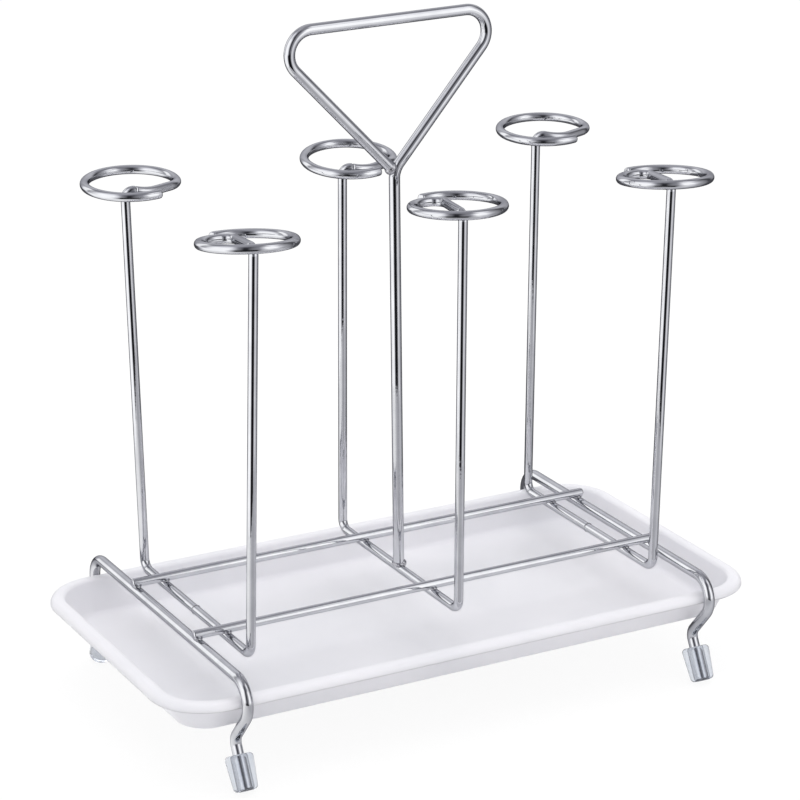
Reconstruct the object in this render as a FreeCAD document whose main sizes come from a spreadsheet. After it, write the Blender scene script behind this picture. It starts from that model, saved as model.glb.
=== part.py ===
import FreeCAD, Part
import math
import os

import Sketcher
from FreeCAD import Placement, Rotation, Vector

# A wire cup drying rack over a shallow drip tray, in millimetres.
# +Z is up, X runs along the two long rails, -Y is the front.
# The origin is on the floor under the middle of the rack.

DIMENSIONS = [
    ("middle_shift", -3.4, "moves everything along Y, so that the origin lies under the middle of the whole"),
    # Wire gauges and welds
    ("thick_wire", 4.8, "diameter of the leg frames and the handle"),
    ("thin_wire", 4.0, "diameter of the rails and the cup posts"),
    ("weld_sink", 0.3, "how far one welded wire sinks into the next"),
    # Rails and leg frames
    ("rail_height", 54.0, "height of the rails' centrelines above the floor"),
    ("rail_spacing", 63.0, "distance between the two rails"),
    ("rail_overhang", 2.3, "how far each rail's end stands past the leg frame's centreline"),
    ("corner_clear", 3.7, "straight length of the tray's edge between a leg frame and the tray's corner"),
    ("leg_slant", 50.04, "slope of the slanted run, in degrees"),
    ("shoulder_bend", 9.8, "bend radius of the shoulder, to the centreline"),
    ("tray_play", 0.5, "space between the tray's edge and the inside of each shoulder"),
    ("neck_height", 20.9, "height above the floor where the slanted run's line meets the foot's line"),
    ("neck_bend", 5.0, "bend radius of the neck, to the centreline"),
    ("foot_splay", 28.0, "how far each foot leans outwards, in degrees"),
    # Cup posts
    ("end_gap", 13.7, "distance from each leg frame to the crossbar next to it"),
    ("post_reach", 53.7, "distance of each post from the middle, along the crossbar"),
    ("post_bend", 4.6, "bend radius at the bottom of a post, to the centreline"),
    ("ring_radius", 19.75, "radius of every ring, to the centreline"),
    ("top_bend", 3.3, "bend radius where a post turns into its ring"),
    ("spoke_reach", 0.9, "where a front ring's spoke turns, left of the ring's middle"),
    ("spoke_bend", 5.0, "bend radius of that turn, to the centreline"),
    ("spoke_return", 11.5, "radius of the curve that brings the spoke into the ring"),
    ("front_ring_end", 110.0, "direction of a front ring's free end, in degrees"),
    ("back_ring_end", 286.0, "direction of a back ring's free end, in degrees"),
    ("strand_clear", 3.0, "how far past the free end the inner strand leaves its curve, in degrees"),
    ("merge_lead", 63.0, "turn from a back ring's free end to where the inner strand joins it, in degrees"),
    ("back_ring_bump", 2.4, "how far a back post's turn stands above its ring"),
    ("bump_left", 0.12, "share of that height left where the inner strand first turns"),
    ("strand_gap", 0.08, "space between two strands of the same wire that lie side by side"),
    # The back left post, bent by hand
    ("back_left_lean", -4.1, "how far the top of the back left post stands off its foot along X"),
    ("back_left_top_reach", 53.3, "distance of the top of the back left post from the middle"),
    ("back_left_ring_height", 172.3, "height of the middle of the back left ring above its crossbar"),
    ("back_left_bearing", 237.5, "direction of the back left post from its ring's middle, in degrees"),
    ("back_left_slope_along", 0.6, "slope of the back left ring along X, in degrees"),
    ("back_left_slope_across", 2.2, "slope of the back left ring along Y, in degrees"),
    # The back middle post, bent by hand
    ("back_middle_lean", -0.4, "how far the top of the back middle post stands off its foot along X"),
    ("back_middle_top_reach", 50.9, "distance of the top of the back middle post from the middle"),
    ("back_middle_ring_height", 170.7, "height of the middle of the back middle ring above its crossbar"),
    ("back_middle_bearing", 232.3, "direction of the back middle post from its ring's middle, in degrees"),
    ("back_middle_slope_along", 1.4, "slope of the back middle ring along X, in degrees"),
    ("back_middle_slope_across", 5.9, "slope of the back middle ring along Y, in degrees"),
    # The back right post, bent by hand
    ("back_right_lean", 0.1, "how far the top of the back right post stands off its foot along X"),
    ("back_right_top_reach", 51.6, "distance of the top of the back right post from the middle"),
    ("back_right_ring_height", 172.1, "height of the middle of the back right ring above its crossbar"),
    ("back_right_bearing", 226.7, "direction of the back right post from its ring's middle, in degrees"),
    ("back_right_slope_along", 1.2, "slope of the back right ring along X, in degrees"),
    ("back_right_slope_across", 2.4, "slope of the back right ring along Y, in degrees"),
    # The front left post, bent by hand
    ("front_left_lean", 4.4, "how far the top of the front left post stands off its foot along X"),
    ("front_left_top_reach", 53.9, "distance of the top of the front left post from the middle"),
    ("front_left_ring_height", 173.1, "height of the middle of the front left ring above its crossbar"),
    ("front_left_bearing", 254.8, "direction of the front left post from its ring's middle, in degrees"),
    ("front_left_slope_along", -2.4, "slope of the front left ring along X, in degrees"),
    ("front_left_slope_across", -6.7, "slope of the front left ring along Y, in degrees"),
    # The front middle post, bent by hand
    ("front_middle_lean", 2.2, "how far the top of the front middle post stands off its foot along X"),
    ("front_middle_top_reach", 51.4, "distance of the top of the front middle post from the middle"),
    ("front_middle_ring_height", 174.3, "height of the middle of the front middle ring above its crossbar"),
    ("front_middle_bearing", 250.5, "direction of the front middle post from its ring's middle, in degrees"),
    ("front_middle_slope_along", -1.4, "slope of the front middle ring along X, in degrees"),
    ("front_middle_slope_across", -3.0, "slope of the front middle ring along Y, in degrees"),
    # The front right post, bent by hand
    ("front_right_lean", 4.2, "how far the top of the front right post stands off its foot along X"),
    ("front_right_top_reach", 53.2, "distance of the top of the front right post from the middle"),
    ("front_right_ring_height", 173.8, "height of the middle of the front right ring above its crossbar"),
    ("front_right_bearing", 249.1, "direction of the front right post from its ring's middle, in degrees"),
    ("front_right_slope_along", -1.9, "slope of the front right ring along X, in degrees"),
    ("front_right_slope_across", -5.0, "slope of the front right ring along Y, in degrees"),
    # Carry handle
    ("handle_apex", 180.3, "height of the fork above the foot of the stem"),
    ("handle_top", 245.1, "height of the top bar above the foot of the stem"),
    ("handle_right", 56.9, "where the top bar's line meets the right arm's line"),
    ("handle_left", 61.2, "where the top bar's line meets the left arm's line"),
    ("handle_corner", 10.0, "bend radius of the two top corners, to the centreline"),
    ("fork_bend", 10.0, "bend radius at the fork, to the centreline"),
    ("arm_end_reach", 2.3, "distance from the stem's line to the end of the left arm"),
    ("arm_end_rise", 1.8, "how far that end stands above the fork"),
    ("weld_bead", 5.6, "diameter of the bead that closes the triangle"),
    ("handle_lean", 0.65, "lean of the whole handle to the left, in degrees"),
    # Foot caps
    ("cap_top", 12.4, "outer diameter at the top of a cap"),
    ("cap_bottom", 10.2, "outer diameter at the bottom of a cap"),
    ("cap_length", 15.4, "length of a cap"),
    ("cap_top_round", 1.8, "rounding of a cap's top edge"),
    ("cap_bottom_round", 2.0, "rounding of a cap's bottom edge"),
    ("cap_floor", 1.6, "thickness of plastic below the wire's end"),
    ("cap_play", 0.05, "space between the wire and the cap, all round"),
    ("cap_squash", 0.35, "how much of a cap's lowest edge is flattened on the floor"),
    # Drip tray
    ("tray_length", 286.6, "length of the tray over its lip"),
    ("tray_width", 152.0, "width of the tray over its lip"),
    ("tray_corner", 24.8, "radius of the lip's corners, seen from above"),
    ("tray_height", 16.0, "height of the lip's crest above the tray's underside"),
    ("lip_below", 1.6, "how far the lip's lower edge hangs below the middle of the shoulders' bends"),
    ("tray_wall", 1.8, "thickness of the plastic"),
    ("lip_drop", 3.7, "how far the lip turns down from its crest"),
    ("lip_width", 6.2, "width of the lip from its edge to the inner wall"),
    ("lip_round", 3.2, "rounding of the lip's outer edge"),
    ("crest_round", 2.2, "rounding from the lip into the inner wall"),
    ("floor_round", 3.0, "rounding between the inner wall and the floor"),
    ("base_round", 2.8, "rounding of the underside's edge"),
    ("floor_lap", 8.0, "how far the wall's section runs on into the floor"),
    ("wall_run", 6.6, "how far the wall leans in on its way down to the floor"),
]

doc = FreeCAD.newDocument("cup_drying_rack")
sheet = doc.addObject("Spreadsheet::Sheet", "sizes")
for row, (alias, value, meaning) in enumerate(DIMENSIONS, start=1):
    sheet.set("A%d" % row, alias.replace("_", " "))
    sheet.set("B%d" % row, str(value))
    sheet.set("C%d" % row, meaning)
    sheet.setAlias("B%d" % row, alias)
doc.recompute()


def number(formula):
    """Value of a formula written with the sheet's aliases."""
    result = sheet.evalExpression(formula)
    return float(getattr(result, "Value", result))


def bind(thing, path, formula):
    thing.setExpression(path, formula)


# The leg frames stand just inside the tray's corners, and the rails and crossbars follow them
FRAME_SPACING = "(sizes.tray_length - 2 * (sizes.tray_corner + sizes.corner_clear) - sizes.thick_wire)"
RAIL_LENGTH = "(" + FRAME_SPACING + " + 2 * sizes.rail_overhang)"
POST_SPACING = "(" + FRAME_SPACING + " / 2 - sizes.end_gap)"

# The legs bend round the tray's long edges, which hang level with the shoulders' bends
BAR_HEIGHT = "(sizes.rail_height - (sizes.thin_wire + sizes.thick_wire) / 2 + sizes.weld_sink)"
SHOULDER_REACH = ("(sizes.tray_width / 2 + sizes.tray_play + sizes.thick_wire / 2 - sizes.shoulder_bend"
                  " + sizes.shoulder_bend / tan(sizes.leg_slant / 2 * 1 deg))")
NECK_REACH = ("(" + SHOULDER_REACH + " - (" + BAR_HEIGHT
              + " - sizes.neck_height) / tan(sizes.leg_slant * 1 deg))")
TRAY_LIFT = ("(" + BAR_HEIGHT + " - sizes.shoulder_bend - sizes.lip_below"
             " - sizes.tray_height + sizes.lip_drop)")

# The caps stand on the floor, and each foot ends inside its cap
SIN = "sin(sizes.foot_splay * 1 deg)"
COS = "cos(sizes.foot_splay * 1 deg)"
CAP_RISE = ("((sizes.cap_bottom / 2 - sizes.cap_bottom_round) * " + SIN
            + " + (sizes.cap_length - sizes.cap_bottom_round) * " + COS
            + " + sizes.cap_bottom_round - sizes.cap_squash)")
CAP_REACH = "(" + NECK_REACH + " + (sizes.neck_height - " + CAP_RISE + ") * tan(sizes.foot_splay * 1 deg))"
FOOT_LENGTH = ("((sizes.neck_height - " + CAP_RISE + ") / " + COS
               + " + sizes.cap_length - sizes.cap_floor)")

# The left arm of the handle ends just above the fork
ARM_END_HEIGHT = "(sizes.handle_apex + sizes.arm_end_rise)"


def new_body(name):
    body = doc.addObject("PartDesign::Body", name)
    body.Label = name
    return body


def origin_plane(body, role):
    for feature in body.Origin.OriginFeatures:
        if feature.Role == role:
            return feature
    raise ValueError(role)


def new_sketch(body, name, role):
    sketch = body.newObject("Sketcher::SketchObject", name)
    sketch.AttachmentSupport = [(origin_plane(body, role), "")]
    sketch.MapMode = "FlatFace"
    return sketch


def hold(sketch, kind, *where):
    return sketch.addConstraint(Sketcher.Constraint(kind, *where))


def hold_size(sketch, kind, where, formula):
    """Adds a driven dimension and ties it to a formula."""
    value = number(formula)
    if kind in ("DistanceX", "DistanceY") and value < 0:
        where = where[2:] + where[:2]
        formula = "-(" + formula + ")"
        value = -value
    index = sketch.addConstraint(Sketcher.Constraint(kind, *where, value))
    bind(sketch, "Constraints[%d]" % index, formula)


def pin(sketch, geometry, point, across, up):
    """Places one point of a sketch by two formulas; "0" means on the axis."""
    if across == "0" and up == "0":
        hold(sketch, "Coincident", geometry, point, -1, 1)
        return
    if across == "0":
        hold(sketch, "PointOnObject", geometry, point, -2)
    else:
        hold_size(sketch, "DistanceX", (-1, 1, geometry, point), across)
    if up == "0":
        hold(sketch, "PointOnObject", geometry, point, -1)
    else:
        hold_size(sketch, "DistanceY", (-1, 1, geometry, point), up)


def draw_bent_line(sketch, corners, closed=False):
    """Draws straight runs joined by bends.

    Each corner is (across, up, radius) as formulas; radius None leaves it sharp.
    """
    points = [Vector(number(across), number(up), 0) for across, up, radius in corners]
    count = len(points)
    cuts = []
    for i, (across, up, radius) in enumerate(corners):
        if radius is None:
            cuts.append(0.0)
            continue
        before = (points[i - 1] - points[i]).normalize()
        after = (points[(i + 1) % count] - points[i]).normalize()
        half = before.getAngle(after) / 2
        cuts.append(number(radius) / math.tan(half))
    runs = []
    for i in range(count if closed else count - 1):
        start = points[i]
        end = points[(i + 1) % count]
        along = (end - start).normalize()
        first = start + along * cuts[i]
        last = end - along * cuts[(i + 1) % count]
        runs.append(sketch.addGeometry(Part.LineSegment(first, last)))
    for i, (across, up, radius) in enumerate(corners):
        has_before = closed or i > 0
        has_after = closed or i < count - 1
        run_before = runs[i - 1] if has_before else None
        run_after = runs[i % len(runs)] if has_after else None
        if radius is None:
            if has_before and has_after:
                hold(sketch, "Coincident", run_before, 2, run_after, 1)
            if has_after:
                pin(sketch, run_after, 1, across, up)
            else:
                pin(sketch, run_before, 2, across, up)
            continue
        before = (points[i - 1] - points[i]).normalize()
        after = (points[(i + 1) % count] - points[i]).normalize()
        half = before.getAngle(after) / 2
        size = number(radius)
        centre = points[i] + (before + after).normalize() * (size / math.sin(half))
        first = points[i] + before * cuts[i] - centre
        last = points[i] + after * cuts[i] - centre
        turns_left = before.cross(after).z < 0
        from_angle = math.atan2(first.y, first.x)
        to_angle = math.atan2(last.y, last.x)
        circle = Part.Circle(centre, Vector(0, 0, 1), size)
        if turns_left:
            arc = sketch.addGeometry(Part.ArcOfCircle(circle, from_angle, to_angle))
            ends = (1, 2)
        else:
            arc = sketch.addGeometry(Part.ArcOfCircle(circle, to_angle, from_angle))
            ends = (2, 1)
        corner = sketch.addGeometry(Part.Point(points[i]), True)
        hold(sketch, "Tangent", run_before, 2, arc, ends[0])
        hold(sketch, "Tangent", arc, ends[1], run_after, 1)
        hold_size(sketch, "Radius", (arc,), radius)
        hold(sketch, "PointOnObject", corner, 1, run_before)
        hold(sketch, "PointOnObject", corner, 1, run_after)
        pin(sketch, corner, 1, across, up)
    return runs


def draw_circle(sketch, across, up, radius):
    centre = Vector(number(across), number(up), 0)
    circle = sketch.addGeometry(Part.Circle(centre, Vector(0, 0, 1), number(radius)))
    pin(sketch, circle, 3, across, up)
    hold_size(sketch, "Radius", (circle,), radius)


def sweep(body, name, profile, path):
    pipe = body.newObject("PartDesign::AdditivePipe", name)
    pipe.Profile = (profile, [""])
    pipe.Spine = (path, [])
    pipe.Refine = False
    return pipe


def rail(name, across):
    """A straight thin wire along X, laid on the leg frames and the crossbars."""
    body = new_body(name)
    profile = new_sketch(body, name + "_section", "YZ_Plane")
    draw_circle(profile, "0", "0", "sizes.thin_wire / 2")
    pad = body.newObject("PartDesign::Pad", name + "_length")
    pad.Profile = profile
    pad.Midplane = True
    bind(pad, "Length", RAIL_LENGTH)
    bind(body, "Placement.Base.y", across + " + sizes.middle_shift")
    bind(body, "Placement.Base.z", "sizes.rail_height")
    return body


def leg_frame(name, along):
    """One thick wire: a bar along Y, a shoulder, a neck and a splayed foot at each end."""
    body = new_body(name)
    path = new_sketch(body, name + "_path", "YZ_Plane")
    draw_bent_line(path, [
        ("0", BAR_HEIGHT, None),
        (SHOULDER_REACH, BAR_HEIGHT, "sizes.shoulder_bend"),
        (NECK_REACH, "sizes.neck_height", "sizes.neck_bend"),
        (NECK_REACH + " + " + FOOT_LENGTH + " * " + SIN,
         "sizes.neck_height - " + FOOT_LENGTH + " * " + COS, None),
    ])
    profile = new_sketch(body, name + "_section", "XZ_Plane")
    draw_circle(profile, "0", BAR_HEIGHT, "sizes.thick_wire / 2")
    doc.recompute()
    half = sweep(body, name + "_half", profile, path)
    doc.recompute()
    whole = body.newObject("PartDesign::Mirrored", name + "_whole")
    whole.Originals = [half]
    whole.MirrorPlane = (origin_plane(body, "XZ_Plane"), [""])
    whole.Refine = True
    body.Tip = whole
    bind(body, "Placement.Base.x", along)
    bind(body, "Placement.Base.y", "sizes.middle_shift")
    return body


def carry_handle(name):
    """One thick wire: a stem that forks into the right arm, the top bar and the left arm.

    It is swept in two stretches that meet in the middle of the top bar, so that the left
    arm's end is joined to the fork as a weld joins it.
    """
    body = new_body(name)
    path = new_sketch(body, name + "_path", "XZ_Plane")
    draw_bent_line(path, [
        ("0", "0", None),
        ("0", "sizes.handle_apex", "sizes.fork_bend"),
        ("sizes.handle_right", "sizes.handle_top", "sizes.handle_corner"),
        ("0", "sizes.handle_top", None),
    ])
    profile = new_sketch(body, name + "_section", "XY_Plane")
    draw_circle(profile, "0", "0", "sizes.thick_wire / 2")
    doc.recompute()
    sweep(body, name + "_stem", profile, path)
    left_path = new_sketch(body, name + "_left_path", "XZ_Plane")
    draw_bent_line(left_path, [
        ("0", "sizes.handle_top", None),
        ("-sizes.handle_left", "sizes.handle_top", "sizes.handle_corner"),
        ("-sizes.arm_end_reach", ARM_END_HEIGHT, None),
    ])
    left_profile = new_sketch(body, name + "_left_section", "YZ_Plane")
    draw_circle(left_profile, "0", "sizes.handle_top", "sizes.thick_wire / 2")
    doc.recompute()
    sweep(body, name + "_left_arm", left_profile, left_path)
    doc.recompute()
    bead = body.newObject("PartDesign::AdditiveSphere", name + "_bead")
    bind(bead, "Radius", "sizes.weld_bead / 2")
    bead.AttachmentSupport = [(origin_plane(body, "XY_Plane"), "")]
    bead.MapMode = "FlatFace"
    bind(bead, "AttachmentOffset.Base.x", "-sizes.arm_end_reach * 0.7")
    bind(bead, "AttachmentOffset.Base.z", ARM_END_HEIGHT + " - sizes.weld_bead * 0.15")
    body.Tip = bead
    body.Placement = Placement(Vector(0, 0, 0), Rotation(Vector(0, -1, 0), 1))
    bind(body, "Placement.Base.y", "sizes.middle_shift")
    bind(body, "Placement.Base.z", "sizes.rail_height - sizes.thin_wire / 2")
    bind(body, "Placement.Rotation.Angle", "sizes.handle_lean")
    return body


def foot_cap(name, along, across, turn):
    """A tapered plastic cap, pushed over the end of a leg and flattened where it meets the floor."""
    body = new_body(name)
    bore = "sizes.thick_wire / 2 + sizes.cap_play"
    floor = "sizes.cap_floor - sizes.cap_length"
    outline = new_sketch(body, name + "_outline", "XZ_Plane")
    draw_bent_line(outline, [
        (bore, "0", None),
        ("sizes.cap_top / 2", "0", "sizes.cap_top_round"),
        ("sizes.cap_bottom / 2", "-sizes.cap_length", "sizes.cap_bottom_round"),
        ("0", "-sizes.cap_length", None),
        ("0", floor, None),
        (bore, floor, None),
    ], closed=True)
    turned = body.newObject("PartDesign::Revolution", name + "_turned")
    turned.Profile = outline
    turned.ReferenceAxis = (outline, ["V_Axis"])
    turned.Angle = 360
    doc.recompute()
    ground = new_sketch(body, name + "_ground", "YZ_Plane")
    rise = "sizes.cap_top * tan(sizes.foot_splay * 1 deg)"
    level = "-" + CAP_RISE + " / " + COS
    draw_bent_line(ground, [
        ("-sizes.cap_top", level + " - " + rise, None),
        ("-sizes.cap_top", "-4 * sizes.cap_length", None),
        ("sizes.cap_top", "-4 * sizes.cap_length", None),
        ("sizes.cap_top", level + " + " + rise, None),
    ], closed=True)
    flat = body.newObject("PartDesign::Pocket", name + "_flat")
    flat.Profile = ground
    flat.Midplane = True
    bind(flat, "Length", "2 * sizes.cap_top")
    body.Tip = flat
    lean = number("sizes.foot_splay")
    facing = Rotation(Vector(0, 0, 1), turn)
    body.Placement = Placement(Vector(0, 0, 0), facing * Rotation(Vector(-1, 0, 0), lean))
    bind(body, "Placement.Base.x", along)
    bind(body, "Placement.Base.y", across + " + sizes.middle_shift")
    bind(body, "Placement.Base.z", CAP_RISE)
    return body


def drip_tray(name):
    """A shallow moulded tray: one wall and lip section carried round a rounded outline, and a floor."""
    body = new_body(name)
    half_length = "sizes.tray_length / 2"
    half_width = "sizes.tray_width / 2"
    path = new_sketch(body, name + "_path", "XY_Plane")
    draw_bent_line(path, [
        ("0", "-" + half_width, None),
        (half_length, "-" + half_width, "sizes.tray_corner"),
        (half_length, half_width, "sizes.tray_corner"),
        ("-" + half_length, half_width, "sizes.tray_corner"),
        ("-" + half_length, "-" + half_width, "sizes.tray_corner"),
    ], closed=True)
    slope = "sizes.wall_run / (sizes.tray_height - sizes.tray_wall)"
    leaning_wall = "sizes.tray_wall * sqrt(1 + (" + slope + ") ^ 2)"
    edge = "-sizes.tray_width / 2"
    inner_foot = edge + " + sizes.lip_width + sizes.wall_run"
    section = new_sketch(body, name + "_section", "YZ_Plane")
    under = "sizes.tray_height - sizes.tray_wall"
    lip_end = "sizes.tray_height - sizes.lip_drop"
    draw_bent_line(section, [
        (edge, lip_end, None),
        (edge, "sizes.tray_height", "sizes.lip_round"),
        (edge + " + sizes.lip_width", "sizes.tray_height", "sizes.crest_round"),
        (inner_foot, "sizes.tray_wall", "sizes.floor_round"),
        (inner_foot + " + sizes.floor_lap", "sizes.tray_wall", None),
        (inner_foot + " + sizes.floor_lap", "0", None),
        (inner_foot + " + sizes.tray_wall * " + slope + " - " + leaning_wall, "0", "sizes.base_round"),
        (edge + " + sizes.lip_width + sizes.tray_wall * " + slope + " - " + leaning_wall, under, None),
        (edge + " + sizes.tray_wall", under, "sizes.lip_round - sizes.tray_wall"),
        (edge + " + sizes.tray_wall", lip_end, None),
    ], closed=True)
    doc.recompute()
    sweep(body, name + "_wall", section, path)
    floor = new_sketch(body, name + "_floor_outline", "XY_Plane")
    lap = "(sizes.lip_width + sizes.wall_run + sizes.floor_lap / 2)"
    draw_bent_line(floor, [
        (half_length + " - " + lap, "-(" + half_width + " - " + lap + ")", "sizes.tray_corner - " + lap),
        (half_length + " - " + lap, half_width + " - " + lap, "sizes.tray_corner - " + lap),
        ("-(" + half_length + " - " + lap + ")", half_width + " - " + lap, "sizes.tray_corner - " + lap),
        ("-(" + half_length + " - " + lap + ")", "-(" + half_width + " - " + lap + ")",
         "sizes.tray_corner - " + lap),
    ], closed=True)
    plate = body.newObject("PartDesign::Pad", name + "_floor")
    plate.Profile = floor
    bind(plate, "Length", "sizes.tray_wall")
    plate.Refine = True
    body.Tip = plate
    bind(body, "Placement.Base.y", "sizes.middle_shift")
    bind(body, "Placement.Base.z", TRAY_LIFT)
    return body


def rounded_edges(points, radii):
    """Straight edges between the points, with an arc of the given radius at each inner point."""
    edges = []
    start = points[0]
    for i in range(1, len(points) - 1):
        before = (points[i - 1] - points[i]).normalize()
        after = (points[i + 1] - points[i]).normalize()
        half = before.getAngle(after) / 2
        cut = radii[i - 1] / math.tan(half)
        first = points[i] + before * cut
        last = points[i] + after * cut
        inward = (before + after).normalize()
        middle = points[i] + inward * (radii[i - 1] / math.sin(half) - radii[i - 1])
        edges.append(Part.LineSegment(start, first).toShape())
        edges.append(Part.Arc(first, middle, last).toShape())
        start = last
    edges.append(Part.LineSegment(start, points[-1]).toShape())
    return edges


def tangents_meet(first_size, first_degrees, second_size, second_degrees):
    """Where the tangents of two circles about one middle cross, each taken at its own direction."""
    first = math.radians(first_degrees)
    second = math.radians(second_degrees)
    spread = math.sin(second - first)
    x = (first_size * math.sin(second) - second_size * math.sin(first)) / spread
    y = (second_size * math.cos(first) - first_size * math.cos(second)) / spread
    return x, y


def post(name, side, along, which):
    """One thin wire: half a crossbar, the post and the ring that carries a cup.

    Its centreline bends in three directions, so it is a wire of lines and arcs,
    and a circle is swept along it.
    """
    front = side < 0
    own = "sizes." + which
    thin = number("sizes.thin_wire")
    radius = number("sizes.ring_radius")
    bearing = math.radians(number(own + "_bearing"))
    inner = radius - thin - number("sizes.strand_gap")
    foot = Vector(0, side * number("sizes.post_reach"), 0)
    top = Vector(number(own + "_lean"), side * number(own + "_top_reach"), number(own + "_ring_height"))
    top_in_ring = Vector(inner * math.cos(bearing), inner * math.sin(bearing), 0)
    centre = top - top_in_ring
    tilt = Rotation(Vector(1, 0, 0), number(own + "_slope_across")) * Rotation(
        Vector(0, -1, 0), number(own + "_slope_along"))

    def on_ring(x, y, z=0.0):
        return centre + tilt.multVec(Vector(x, y, z))

    def at_bearing(size, degrees, z=0.0):
        angle = math.radians(degrees)
        return on_ring(size * math.cos(angle), size * math.sin(angle), z)

    if front:
        turn = number("sizes.spoke_return")
        side_step = radius - turn
        spoke_end = on_ring(-side_step, turn)
        edges = rounded_edges(
            [Vector(0, 0, 0), foot, on_ring(top_in_ring.x, top_in_ring.y),
             on_ring(-number("sizes.spoke_reach"), turn), spoke_end],
            [number("sizes.post_bend"), number("sizes.top_bend"), number("sizes.spoke_bend")])
        half = math.sqrt(0.5) * turn
        edges.append(Part.Arc(spoke_end, on_ring(-side_step - half, half), at_bearing(radius, 180)).toShape())
        last = 360.0 + number("sizes.front_ring_end")
        edges.append(Part.Arc(at_bearing(radius, 180), at_bearing(radius, 90 + last / 2),
                              at_bearing(radius, last)).toShape())
    else:
        bump = number("sizes.back_ring_bump")
        elbow = number("sizes.top_bend")
        lead = 1.2 * elbow
        strand = math.sqrt(inner ** 2 - lead ** 2)
        start = math.degrees(bearing) + math.degrees(math.atan2(lead, strand))
        end = number("sizes.back_ring_end")
        release = end + number("sizes.strand_clear")
        merge = end + number("sizes.merge_lead")
        corner = on_ring(top_in_ring.x, top_in_ring.y, bump)
        first_x, first_y = tangents_meet(strand, start, strand, release)
        second_x, second_y = tangents_meet(strand, release, radius, merge)
        first_turn = on_ring(first_x, first_y, bump * number("sizes.bump_left"))
        second_turn = on_ring(second_x, second_y)
        join = at_bearing(radius, merge)
        half = ((first_turn - second_turn).getAngle(join - second_turn)) / 2
        join_bend = 0.94 * (join - second_turn).Length * math.tan(half)
        edges = rounded_edges(
            [Vector(0, 0, 0), foot, corner, first_turn, second_turn, join],
            [number("sizes.post_bend"), elbow, strand, join_bend])
        last = 360.0 + end
        edges.append(Part.Arc(join, at_bearing(radius, (merge + last) / 2),
                              at_bearing(radius, last)).toShape())
    path = doc.addObject("Part::Feature", name + "_path")
    path.Shape = Part.Wire(edges)
    section = doc.addObject("Part::Circle", name + "_section")
    bind(section, "Radius", "sizes.thin_wire / 2")
    section.Placement = Placement(Vector(0, 0, 0), Rotation(Vector(1, 0, 0), 90))
    wire = doc.addObject("Part::Sweep", name)
    wire.Label = name
    wire.Sections = [section]
    wire.Spine = (path, ["Edge%d" % (i + 1) for i in range(len(path.Shape.Edges))])
    wire.Solid = True
    wire.Frenet = False
    wire.Transition = "Transformed"
    bind(wire, "Placement.Base.x", along)
    bind(wire, "Placement.Base.y", "sizes.middle_shift")
    bind(wire, "Placement.Base.z", "sizes.rail_height - sizes.thin_wire + sizes.weld_sink")
    return wire


nodes = [
    leg_frame("left_leg_frame", "-" + FRAME_SPACING + " / 2"),
    leg_frame("right_leg_frame", FRAME_SPACING + " / 2"),
    rail("back_rail", "sizes.rail_spacing / 2"),
    rail("front_rail", "-sizes.rail_spacing / 2"),
    post("post_back_left", 1, "-" + POST_SPACING, "back_left"),
    post("post_back_middle", 1, "0", "back_middle"),
    post("post_back_right", 1, POST_SPACING, "back_right"),
    post("post_front_left", -1, "-" + POST_SPACING, "front_left"),
    post("post_front_middle", -1, "0", "front_middle"),
    post("post_front_right", -1, POST_SPACING, "front_right"),
    carry_handle("carry_handle"),
    foot_cap("foot_cap_front_left", "-" + FRAME_SPACING + " / 2", "-" + CAP_REACH, 0),
    foot_cap("foot_cap_front_right", FRAME_SPACING + " / 2", "-" + CAP_REACH, 0),
    foot_cap("foot_cap_back_left", "-" + FRAME_SPACING + " / 2", CAP_REACH, 180),
    foot_cap("foot_cap_back_right", FRAME_SPACING + " / 2", CAP_REACH, 180),
    drip_tray("drip_tray"),
]
doc.recompute()

for thing in doc.Objects:
    if "Invalid" in thing.State or "Error" in thing.State:
        raise RuntimeError("%s did not build: %s" % (thing.Label, thing.State))
for node in nodes:
    if node.Shape.isNull() or not node.Shape.isValid():
        raise RuntimeError("%s has no sound shape" % node.Label)
    if len(node.Shape.Solids) != 1:
        raise RuntimeError("%s is not one solid" % node.Label)

os.makedirs("parts", exist_ok=True)
for node in nodes:
    node.Shape.exportStep(os.path.join("parts", node.Label + ".step"))
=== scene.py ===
import bmesh
import bpy
import math
from mathutils import Matrix, Vector


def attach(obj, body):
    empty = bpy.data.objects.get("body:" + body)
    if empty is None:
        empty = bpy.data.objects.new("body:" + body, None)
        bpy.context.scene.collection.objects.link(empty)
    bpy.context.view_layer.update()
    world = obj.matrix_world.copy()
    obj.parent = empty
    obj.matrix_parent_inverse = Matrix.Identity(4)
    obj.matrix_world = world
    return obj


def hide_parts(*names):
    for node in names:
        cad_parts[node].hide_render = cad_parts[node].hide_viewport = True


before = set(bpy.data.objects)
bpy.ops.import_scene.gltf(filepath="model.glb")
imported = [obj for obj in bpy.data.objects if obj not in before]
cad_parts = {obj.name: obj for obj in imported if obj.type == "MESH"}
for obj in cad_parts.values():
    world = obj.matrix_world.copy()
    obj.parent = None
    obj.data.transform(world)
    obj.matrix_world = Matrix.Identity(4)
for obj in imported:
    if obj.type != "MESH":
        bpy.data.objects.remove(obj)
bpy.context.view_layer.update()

# A chromed wire cup drying rack over a milky plastic drip tray.
# Sizes are in millimetres, as in the part's source, and MM turns them to metres.
MM = 0.001

# Camera of the photograph: a long lens from the front left, a little above the rack
camera_data = bpy.data.cameras.new("photo_camera")
camera_data.sensor_width = 36.0
camera_data.lens = 133.58
camera_data.clip_start = 0.05
camera_data.clip_end = 20.0
camera = bpy.data.objects.new("photo_camera", camera_data)
camera.location = (-0.5799, -1.07147, 0.55883)
camera.rotation_euler = (math.radians(70.518), 0.0, math.radians(-28.527))
bpy.context.scene.collection.objects.link(camera)
bpy.context.scene.camera = camera
bpy.context.scene.view_settings.view_transform = "Standard"

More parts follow.
